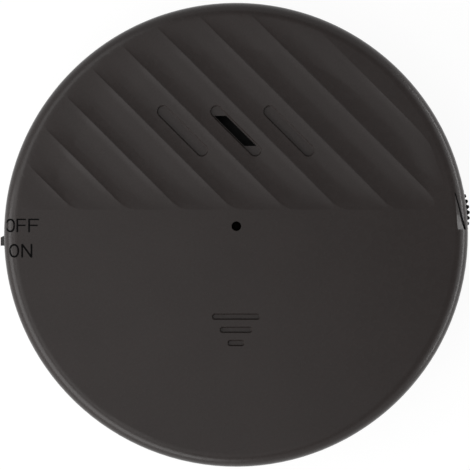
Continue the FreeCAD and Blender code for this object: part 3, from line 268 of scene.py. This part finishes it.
def dress_mouldings():
    """The moulded plastic pieces, and the siren's plate coloured black as painted shade seen through the
    sound opening.
    """
    case = moulded_plastic("case_plastic", (0.0305, 0.0246, 0.0231), roughness=0.27)
    knob = moulded_plastic("knob_plastic", (0.045, 0.044, 0.042), roughness=0.4)
    wheel = moulded_plastic("wheel_plastic", (0.010, 0.010, 0.010), roughness=0.5, specular=0.08)
    # Painted shade: the siren's plate is coloured black so the sound opening in front of it looks dark; this
    # is not a coating the plate has
    painted_shade = moulded_plastic("plate_painted_shade", (0.006, 0.006, 0.006), roughness=0.6, specular=0.1)
    dress(case, "front_cover", "rear_cover", "battery_door")
    dress(knob, "switch_knob")
    dress(wheel, "sensitivity_wheel")
    dress(painted_shade, "piezo_plate")


def dress_resins():
    """The chips, the phenolic boards, the lamp, the sleeve and the wires' insulation."""
    chips = resin("chip_resin", (0.012, 0.012, 0.013), roughness=0.55)
    phenolic = resin("phenolic_board", (0.035, 0.018, 0.009), roughness=0.5)
    dress(chips, "control_chip", "drive_transistor", "chip_resistors")
    dress(phenolic, "switch_base", "dial_base")
    dress(resin("led_resin", (0.004, 0.002, 0.002), roughness=0.5, specular=0.05), "indicator_led")
    dress(resin("capacitor_sleeve", (0.01, 0.014, 0.05), roughness=0.3), "storage_capacitor")
    dress(resin("red_insulation", (0.35, 0.01, 0.008), roughness=0.4), "piezo_lead_inner")
    dress(resin("black_insulation", (0.01, 0.01, 0.01), roughness=0.4), "piezo_lead_outer")


def dress_metals():
    """The screws, wires, stampings, cells, contacts and the turned rotor."""
    zinc = worked_metal("zinc_plating", (0.55, 0.55, 0.53), roughness=0.32, stretch=(1, 1, 1))
    tin = worked_metal("tinned_wire", (0.6, 0.6, 0.61), roughness=0.3, stretch=(6, 6, 1))
    steel = worked_metal("stamped_steel", (0.5, 0.5, 0.51), roughness=0.35)
    cell = worked_metal("cell_nickel", (0.62, 0.61, 0.59), roughness=0.25, stretch=(1, 1, 10))
    contact = worked_metal("contact_nickel", (0.6, 0.59, 0.56), roughness=0.3, stretch=(1, 10, 1))
    brass = worked_metal("turned_brass", (0.62, 0.42, 0.14), roughness=0.35, stretch=(10, 1, 1))
    dress(zinc, "housing_screws", "board_screws", "wheel_screw")
    dress(tin, "led_leads", "sensor_leads", "switch_terminals", "dial_terminals")
    dress(steel, "switch_case", "vibration_sensor")
    dress(cell, "button_cell_left", "button_cell_middle", "button_cell_right")
    dress(contact, "negative_spring", "positive_spring", "link_spring", "door_link_plate")
    dress(brass, "dial_rotor")


def dress_the_rest():
    """The pad, the circuit board, the coil and the siren's ceramic."""
    dress(foam_tape(), "adhesive_pad")
    dress(solder_mask(), "circuit_board")
    dress(wound_coil(), "boost_coil")
    dress(fired_ceramic(), "piezo_ceramic")


# Fluted cover

# The ridges' pitch and the place of one of them, and where the face counts as fluted
FLUTE_PITCH = 5.66 * MM
FIRST_RIDGE = 2.34 * MM
FLUTE_DEEPEST = 1.0 * MM
FLUTES_LOW = 3.0 * MM
RIM_MARGIN = 0.5 * MM

# Distances from the middle between which the flutes fade out, and how gradually that sets in sideways
FADE_OUTER = 33.6 * MM
FADE_INNER = 28.0 * MM
FADE_SIDE = 8.0 * MM

# The longest edges of the refined mesh, across the flutes and in any direction
FINE_ACROSS = 0.36 * MM
FINE_ALONG = 1.5 * MM

# A point this far below its flute's floor lies in a recess, whose floor follows the flute
FLOOR_SLACK = 0.03 * MM

# Slopes are taken over this step, a little inside each triangle, and only where its normal points up
SLOPE_STEP = 0.001 * MM
INWARD_SHARE = 0.05
FACING_UP = 0.2

# Corners that agree to this many decimals of a metre become one vertex
WELD_DIGITS = 9

# The flutes' sections, modelled and wanted, with depths and places in millimetres and slopes in degrees
RIDGE_DROP = 0.03
MODELLED_KNOTS = [0, 0, 0, 0, 0.22, 0.4, 1, 1, 1, 1]
MODELLED_POLES = [0.03, 0.177, 0.505, 0.554, 0.393, 0.03]
WANTED_PLACES = [0.0, 0.2, 0.4, 0.7, 1.0, 1.3, 1.6, 2.0, 2.5, 3.0, 3.8, 4.6, 5.2, 5.66]
WANTED_SLOPES = [28, 20, 11, 8.5, 6.5, 5.5, 3, 1.5, 0.5, -2.5, -4.5, -6, -12, -14]
PROFILE_STEPS = 400


def face_height(x, y):
    """The height of the front cover's unfluted face above the pane, out to its rounded rim."""
    beyond = np.clip(np.hypot(x, y) - (CASE_RADIUS - RIM_ROUND), 0, RIM_ROUND)
    return FRONT_Z - RIM_ROUND + np.sqrt(RIM_ROUND ** 2 - beyond ** 2)


def across_share(x, y):
    """How far a point lies across its flute, from 0 at one ridge to 1 at the next."""
    return ((x + y) / math.sqrt(2) - FIRST_RIDGE) / FLUTE_PITCH % 1


def modelled_depth(x, y):
    """The full depth of the CAD model's flutes, by the recursion for B-splines."""
    share = across_share(x, y)
    knots = MODELLED_KNOTS
    weights = [(low <= share) & (share < high) for low, high in zip(knots, knots[1:])]
    for degree in (1, 2, 3):
        raised = []
        for i in range(len(weights) - 1):
            span = knots[i + degree] - knots[i]
            next_span = knots[i + degree + 1] - knots[i + 1]
            weight = 0 * share
            if span:
                weight = weight + (share - knots[i]) / span * weights[i]
            if next_span:
                weight = weight + (knots[i + degree + 1] - share) / next_span * weights[i + 1]
            raised.append(weight)
        weights = raised
    return sum(pole * weight for pole, weight in zip(MODELLED_POLES, weights)) * MM


def wanted_profile():
    """Shares across a flute and its depth there: a short steep side, then a long gentle one."""
    shares = np.linspace(0, 1, PROFILE_STEPS + 1)
    places = shares * FLUTE_PITCH / MM
    slopes = np.tan(np.radians(np.interp(places, WANTED_PLACES, WANTED_SLOPES)))
    slopes -= slopes[:-1].mean() / 2 + slopes[1:].mean() / 2
    falls = (slopes[1:] + slopes[:-1]) / 2 * np.diff(places)
    return shares, (RIDGE_DROP + np.concatenate([[0], np.cumsum(falls)])) * MM


WANTED_PROFILE = wanted_profile()


def flute_share(x, y):
    """The share of the modelled depth that is wanted; the flutes fade out at the upper left rim."""
    run = np.clip((FADE_OUTER - np.hypot(x, y)) / (FADE_OUTER - FADE_INNER), 0, 1)
    side = np.clip((y - x) / math.sqrt(2) / FADE_SIDE, 0, 1)
    side = side * side * (3 - 2 * side)
    kept = 1 - side * (1 - run)
    return kept * np.interp(across_share(x, y), *WANTED_PROFILE) / modelled_depth(x, y)


def slope_of(height, x, y):
    """How much a height that depends on x and y rises along each of them."""
    along_x = (height(x + SLOPE_STEP, y) - height(x - SLOPE_STEP, y)) / (2 * SLOPE_STEP)
    along_y = (height(x, y + SLOPE_STEP) - height(x, y - SLOPE_STEP)) / (2 * SLOPE_STEP)
    return np.stack([along_x, along_y])


def fluted(points):
    """Whether each point lies on the upper side of the cover, where the flutes are."""
    x, y, z = points[..., 0], points[..., 1], points[..., 2]
    upper = z > face_height(x, y) - FLUTE_DEEPEST
    return upper & (y > FLUTES_LOW) & (np.hypot(x, y) < CASE_RADIUS - RIM_MARGIN)


def starting_at(triangles, first):
    """The triangles, each starting at the corner that first names."""
    order = (first[:, None] + np.arange(3)) % 3
    return np.take_along_axis(triangles, order[:, :, None], axis=1)


def halved(triangles, marked):
    """The triangles cut at the middles of their marked edges; edge 0 runs from corner 0 to corner 1."""
    count = marked.sum(axis=1)
    pieces = [triangles[count == 0]]
    one, two, three = (count == number for number in (1, 2, 3))
    a, b, c = np.moveaxis(starting_at(triangles[one], marked[one].argmax(axis=1)), 1, 0)
    ab = (a + b) / 2
    pieces += [np.stack(corners, axis=1) for corners in ((a, ab, c), (ab, b, c))]
    unmarked = marked[two].argmin(axis=1)
    a, b, c = np.moveaxis(starting_at(triangles[two], (unmarked + 1) % 3), 1, 0)
    ab, bc = (a + b) / 2, (b + c) / 2
    pieces += [np.stack(corners, axis=1) for corners in ((a, ab, c), (ab, bc, c), (ab, b, bc))]
    a, b, c = np.moveaxis(triangles[three], 1, 0)
    ab, bc, ca = (a + b) / 2, (b + c) / 2, (c + a) / 2
    pieces += [np.stack(corners, axis=1) for corners in ((a, ab, ca), (ab, b, bc), (ca, bc, c), (ab, bc, ca))]
    return np.concatenate(pieces)


def refined(triangles):
    """The triangles cut finely across the flutes and less along them."""
    while True:
        points = triangles[:, :, :3]
        following = np.roll(points, -1, axis=1)
        step_x, step_y = np.moveaxis(following - points, 2, 0)[:2]
        across = np.abs(step_x + step_y) / math.sqrt(2)
        too_long = (across > FINE_ACROSS) | (np.hypot(step_x, step_y) > FINE_ALONG)
        marked = too_long & (fluted(points) | fluted(following) | fluted((points + following) / 2))
        if not marked.any():
            return triangles
        triangles = halved(triangles, marked)


def fitted_normals(normals, inner, sunk, cut):
    """The normals on the raised surface, worked out at points a little inside each corner's triangle."""
    x, y = inner[:, :2].T
    facing = normals[:, 2] > FACING_UP
    old_slope = -(normals[:, :2] / np.where(facing, normals[:, 2], 1)[:, None]).T
    face_cut_slope = slope_of(face_height, x, y) - old_slope
    cut_slope = np.where(sunk, slope_of(modelled_depth, x, y), face_cut_slope)
    share = flute_share(x, y)
    new_slope = old_slope + (1 - share) * cut_slope - cut * slope_of(flute_share, x, y)
    new_normals = np.concatenate([-new_slope, np.ones((1, len(share)))]).T
    return np.where(facing[:, None], new_normals, normals)


def reshape_flutes(triangles):
    """Moves the corners on the flutes to the wanted depth and turns their normals to match."""
    points, normals = triangles[:, :, :3], triangles[:, :, 3:]
    inner = points + (points.mean(axis=1, keepdims=True) - points) * INWARD_SHARE
    moved = fluted(points)
    x, y, z = points[moved].T
    depth = face_height(x, y) - z
    full = modelled_depth(x, y)
    sunk = depth > full + FLOOR_SLACK
    cut = np.where(sunk, full, depth)
    normals[moved] = fitted_normals(normals[moved], inner[moved], sunk, cut)
    points[moved, 2] += cut * (1 - flute_share(x, y))
    normals /= np.linalg.norm(normals, axis=2, keepdims=True)


def corner_rows(mesh):
    """The triangles of a mesh, each with three corners of a point and its normal."""
    index = read_rows(mesh.loops, "vertex_index", 1, np.int32)[:, 0]
    points = read_rows(mesh.vertices, "co", 3)[index]
    normals = read_rows(mesh.corner_normals, "vector", 3)
    return np.hstack([points, normals]).astype(float).reshape(-1, 3, 6)


def welded_mesh(name, triangles):
    """A mesh of the triangles, in which corners at one place share their vertex."""
    points = np.round(triangles[:, :, :3].reshape(-1, 3), WELD_DIGITS)
    places, index = np.unique(points, axis=0, return_inverse=True)
    faces = index.reshape(-1, 3)
    whole = (faces != np.roll(faces, -1, axis=1)).all(axis=1)
    mesh = bpy.data.meshes.new(name)
    mesh.from_pydata(places.tolist(), [], faces[whole].tolist())
    mesh.polygons.foreach_set("use_smooth", np.ones(int(whole.sum()), bool))
    mesh.normals_split_custom_set(triangles[whole][:, :, 3:].reshape(-1, 3).tolist())
    return mesh


def make_front_cover():
    """The front cover with crisper flutes that fade out at the upper left rim, as the photograph shows."""
    source = NODES["front_cover"].data
    triangles = refined(corner_rows(source))
    reshape_flutes(triangles)
    mesh = welded_mesh("fluted_cover", triangles)
    mesh.materials.append(source.materials[0])
    cover = new_object("fluted_cover", mesh)
    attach(cover, "housing")
    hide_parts("front_cover")


# Toothed wheel

# The gaps lie within TOOTH_ZONE of the wheel's edge; a higher GAP_POWER makes their bottoms flatter
WHEEL_TEETH = 57
TOOTH_ZONE = 0.5 * MM
ROOT_SLACK = 0.001 * MM
GAP_HALF_WIDTH = 0.27 * MM
GAP_POWER = 1.5


def with_narrower_gaps(away):
    """Points round the wheel's axis, whose gaps keep their places and depth but not their width."""
    radius = np.hypot(away[:, 0], away[:, 1])
    turn = np.arctan2(away[:, 1], away[:, 0])
    outer = radius.max()
    toothed = radius > outer - TOOTH_ZONE
    root = radius[toothed].min()
    bottoms = toothed & (radius < root + ROOT_SLACK)
    phase = np.angle(np.exp(1j * turn[bottoms] * WHEEL_TEETH).mean()) / WHEEL_TEETH
    pitch = math.tau / WHEEL_TEETH
    offset = np.abs((turn - phase + pitch / 2) % pitch - pitch / 2) * outer
    depth = (outer - root) * np.clip(1 - (offset / GAP_HALF_WIDTH) ** GAP_POWER, 0, 1)
    scale = np.where(toothed, (outer - depth) / radius, 1)
    return away * scale[:, None]


def make_toothed_wheel():
    """The thumbwheel with fuller teeth."""
    mesh = NODES["sensitivity_wheel"].data.copy()
    mesh.name = "toothed_wheel"
    low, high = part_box("dial_rotor")
    centre = np.array((low + high) / 2)[:2]
    points = read_rows(mesh.vertices, "co", 3)
    points[:, :2] = centre + with_narrower_gaps(points[:, :2] - centre)
    mesh.vertices.foreach_set("co", points.ravel())
    mesh.attributes.remove(mesh.attributes["custom_normal"])
    mesh.shade_flat()
    wheel = new_object("toothed_wheel", mesh)
    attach(wheel, "dial")
    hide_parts("sensitivity_wheel")


# Printed words

# How far the ink stands out of the face and reaches into it, and into how many steps strokes are cut
INK_PROUD = 0.004 * MM
INK_SUNK = 0.02 * MM
STROKE_STEPS = 10
RING_STEPS = 72

# Sizes and places of the letters in millimetres, and how square the letter O is
STEM = 0.27
BAR = 0.22
N_SLANT = 1.75 * STEM
O_SQUARENESS = 0.88
OFF_LOW, OFF_HIGH = 0.38, 2.42
OFF_ARM = 1.42
OFF_O_LEFT, OFF_O_RIGHT = -34.66, -33.20
OFF_FS = ((-32.99, -31.55, -31.62), (-31.22, -29.58, -29.78))
ON_LOW, ON_HIGH = -3.42, -1.38
ON_O_LEFT, ON_O_RIGHT = -34.10, -32.58
ON_N_LEFT, ON_N_RIGHT = -32.26, -30.59


def ribbon(mesh, pairs, closed=False):
    """A thin solid stroke over the face, through pairs of points on its two edges."""
    layers = []
    for left, right in pairs:
        layer = []
        for x, y in (left, right):
            z = face_height(x, y)
            layer.append(mesh.verts.new((x, y, z + INK_PROUD)))
            layer.append(mesh.verts.new((x, y, z - INK_SUNK)))
        layers.append(layer)
    following = layers[1:] + layers[:1] if closed else layers[1:]
    for (a, b, c, d), (e, f, g, h) in zip(layers, following):
        for face in ((a, c, g, e), (b, f, h, d), (a, e, f, b), (c, d, h, g)):
            mesh.faces.new(face)
    if not closed:
        a, b, c, d = layers[0]
        mesh.faces.new((a, b, d, c))
        e, f, g, h = layers[-1]
        mesh.faces.new((e, g, h, f))


def straight(mesh, start, end):
    """A stroke between two short edges, each given by its two corners in millimetres."""
    pairs = []
    for step in range(STROKE_STEPS + 1):
        share = step / STROKE_STEPS
        pair = []
        for first, last in zip(start, end):
            pair.append(tuple((p + (q - p) * share) * MM for p, q in zip(first, last)))
        pairs.append(pair)
    ribbon(mesh, pairs)


def block(mesh, left, right, low, high):
    """An upright or level stroke that fills a rectangle."""
    if right - left > high - low:
        straight(mesh, ((left, low), (left, high)), ((right, low), (right, high)))
    else:
        straight(mesh, ((left, high), (right, high)), ((left, low), (right, low)))


def letter_o(mesh, left, right, low, high):
    """The letter O, a little squarer than an ellipse."""
    middle = ((left + right) / 2, (low + high) / 2)
    half = ((right - left) / 2, (high - low) / 2)
    pairs = []
    for step in range(RING_STEPS):
        angle = math.tau * step / RING_STEPS
        pair = []
        for inset in (0, STEM):
            place = []
            for centre, reach, turn in zip(middle, half, (math.cos(angle), math.sin(angle))):
                bulge = math.copysign(abs(turn) ** O_SQUARENESS, turn)
                place.append((centre + (reach - inset) * bulge) * MM)
            pair.append(tuple(place))
        pairs.append(pair)
    ribbon(mesh, pairs, closed=True)


def letter_f(mesh, left, top_right, arm_right):
    """The letter F of the word OFF, whose top bar and arm end at their own places."""
    block(mesh, left, left + STEM, OFF_LOW, OFF_HIGH)
    block(mesh, left + STEM, top_right, OFF_HIGH - BAR, OFF_HIGH)
    block(mesh, left + STEM, arm_right, OFF_ARM - BAR / 2, OFF_ARM + BAR / 2)


def letter_n(mesh, left, right, low, high):
    """The letter N, whose slanted stroke is N_SLANT high where it meets a stem."""
    block(mesh, left, left + STEM, low, high)
    block(mesh, right - STEM, right, low, high)
    start = ((left + STEM, high - N_SLANT), (left + STEM, high))
    end = ((right - STEM, low), (right - STEM, low + N_SLANT))
    straight(mesh, start, end)


def print_words():
    """The words OFF and ON, in one mesh on the face beside the switch."""
    letters = bmesh.new()
    letter_o(letters, OFF_O_LEFT, OFF_O_RIGHT, OFF_LOW, OFF_HIGH)
    for left, top_right, arm_right in OFF_FS:
        letter_f(letters, left, top_right, arm_right)
    letter_o(letters, ON_O_LEFT, ON_O_RIGHT, ON_LOW, ON_HIGH)
    letter_n(letters, ON_N_LEFT, ON_N_RIGHT, ON_LOW, ON_HIGH)
    bmesh.ops.recalc_face_normals(letters, faces=letters.faces)
    mesh = bpy.data.meshes.new("printed_words")
    letters.to_mesh(mesh)
    letters.free()
    mesh.materials.append(printing_ink())
    words = new_object("printed_words", mesh)
    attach(words, "housing")


# Studio

# The floor seen is FLOOR_GLOW bright, plus a share of the lamps' light, in which the shadow shows
FLOOR_SIZE = 6.0
FLOOR_GREY = 0.8
FLOOR_GLOW = 0.93
SHADOW_SHARE = 0.12

# The world's light, and its brightness in reflections: white walls up to WALL_TOP, dimmer above
AMBIENT = 0.10
CEILING = 0.40
WALL_TOP = math.sin(math.radians(33))
CEILING_EDGE = math.sin(math.radians(50))

LAMP_DISTANCE = 0.30

# Each lamp's name, azimuth and elevation in degrees, width and height in metres, and radiance
LAMPS = (
    ("key", 217, 24, 0.62, 0.15, 3.0),
    ("softbox", 203, 64, 0.44, 0.33, 0.59),
    ("core", 216, 60, 0.20, 0.07, 1.1),
    ("fill", 146, 45, 0.24, 0.14, 1.4),
    ("strip", 2, 4, 0.44, 0.05, 6.5),
    ("side", 4, 24, 0.44, 0.10, 0.9),
)


def add_lamp(name, azimuth, elevation, width, height, radiance):
    """A soft box that faces the sensor; azimuth turns from +X towards +Y."""
    data = bpy.data.lights.new(name, "AREA")
    data.shape = "RECTANGLE"
    data.size = width
    data.size_y = height
    data.energy = radiance * math.pi * width * height
    lamp = new_object(name, data)
    turn, rise = math.radians(azimuth), math.radians(elevation)
    away = Vector((math.cos(turn) * math.cos(rise), math.sin(turn) * math.cos(rise), math.sin(rise)))
    lamp.location = Vector((0, 0, FRONT_Z)) + away * LAMP_DISTANCE
    lamp.rotation_euler = away.to_track_quat("Z", "Y").to_euler()
    lamp.visible_camera = False


def greater(nodes, links, first, second):
    """The greater of two values."""
    node = nodes.new("ShaderNodeMath")
    node.operation = "MAXIMUM"
    links.new(first, node.inputs[0])
    links.new(second, node.inputs[1])
    return node.outputs["Value"]


def background_shader(nodes, links, lit_shader, white_shader):
    """White where the camera looks or a reflection falls, and lit by the lamps elsewhere."""
    rays = nodes.new("ShaderNodeLightPath").outputs
    seen = greater(nodes, links, rays["Is Camera Ray"], rays["Is Glossy Ray"])
    seen = greater(nodes, links, seen, rays["Is Transmission Ray"])
    mix = nodes.new("ShaderNodeMixShader")
    links.new(seen, mix.inputs["Fac"])
    links.new(lit_shader, mix.inputs[1])
    links.new(white_shader, mix.inputs[2])
    return mix.outputs["Shader"]


def grey_diffuse(nodes, level):
    """The shader of a matt grey surface."""
    node = nodes.new("ShaderNodeBsdfDiffuse")
    node.inputs["Color"].default_value = (level, level, level, 1)
    return node.outputs["BSDF"]


def make_floor():
    """A floor that looks white and keeps the sensor's shadow."""
    bpy.ops.mesh.primitive_plane_add(size=FLOOR_SIZE)
    floor = bpy.context.object
    floor.name = "floor"
    material = bpy.data.materials.new("floor")
    material.use_nodes = True
    nodes = material.node_tree.nodes
    links = material.node_tree.links
    nodes.clear()
    glow = nodes.new("ShaderNodeEmission")
    glow.inputs["Strength"].default_value = FLOOR_GLOW
    white = nodes.new("ShaderNodeAddShader")
    links.new(grey_diffuse(nodes, SHADOW_SHARE), white.inputs[0])
    links.new(glow.outputs["Emission"], white.inputs[1])
    output = nodes.new("ShaderNodeOutputMaterial")
    surface = background_shader(nodes, links, grey_diffuse(nodes, FLOOR_GREY), white.outputs["Shader"])
    links.new(surface, output.inputs["Surface"])
    floor.data.materials.append(material)


def make_world():
    """White walls round the studio, with a dimmer ceiling in the reflections."""
    world = bpy.data.worlds.new("studio")
    bpy.context.scene.world = world
    world.use_nodes = True
    nodes = world.node_tree.nodes
    links = world.node_tree.links
    nodes.clear()
    ambient = nodes.new("ShaderNodeBackground")
    ambient.inputs["Strength"].default_value = AMBIENT
    split = nodes.new("ShaderNodeSeparateXYZ")
    links.new(nodes.new("ShaderNodeTexCoord").outputs["Generated"], split.inputs["Vector"])
    dim = nodes.new("ShaderNodeMapRange")
    dim.inputs["From Min"].default_value = WALL_TOP
    dim.inputs["From Max"].default_value = CEILING_EDGE
    dim.inputs["To Min"].default_value = 1.0
    dim.inputs["To Max"].default_value = CEILING
    links.new(split.outputs["Z"], dim.inputs["Value"])
    camera_ray = nodes.new("ShaderNodeLightPath").outputs["Is Camera Ray"]
    white = nodes.new("ShaderNodeBackground")
    links.new(greater(nodes, links, dim.outputs["Result"], camera_ray), white.inputs["Strength"])
    output = nodes.new("ShaderNodeOutputWorld")
    surface = background_shader(nodes, links, ambient.outputs["Background"], white.outputs["Background"])
    links.new(surface, output.inputs["Surface"])


# Camera

LENS = 250.0
SENSOR = 36.0
VIEW_WIDTH = 70.92 * MM
VIEW_X = -0.148 * MM
VIEW_Y = -0.033 * MM


def make_camera():
    """A long lens straight above the sensor, as far away as fills the picture."""
    data = bpy.data.cameras.new("camera")
    data.lens = LENS
    data.sensor_width = SENSOR
    camera = new_object("camera", data)
    camera.location = (VIEW_X, VIEW_Y, FRONT_Z - RIM_ROUND + VIEW_WIDTH * LENS / SENSOR)
    bpy.context.scene.camera = camera


# The scene, in the order in which it is put together

dress_mouldings()
dress_resins()
dress_metals()
dress_the_rest()
make_front_cover()
make_toothed_wheel()
print_words()
for lamp in LAMPS:
    add_lamp(*lamp)
make_floor()
make_world()
make_camera()
bpy.context.scene.view_settings.view_transform = "Standard"
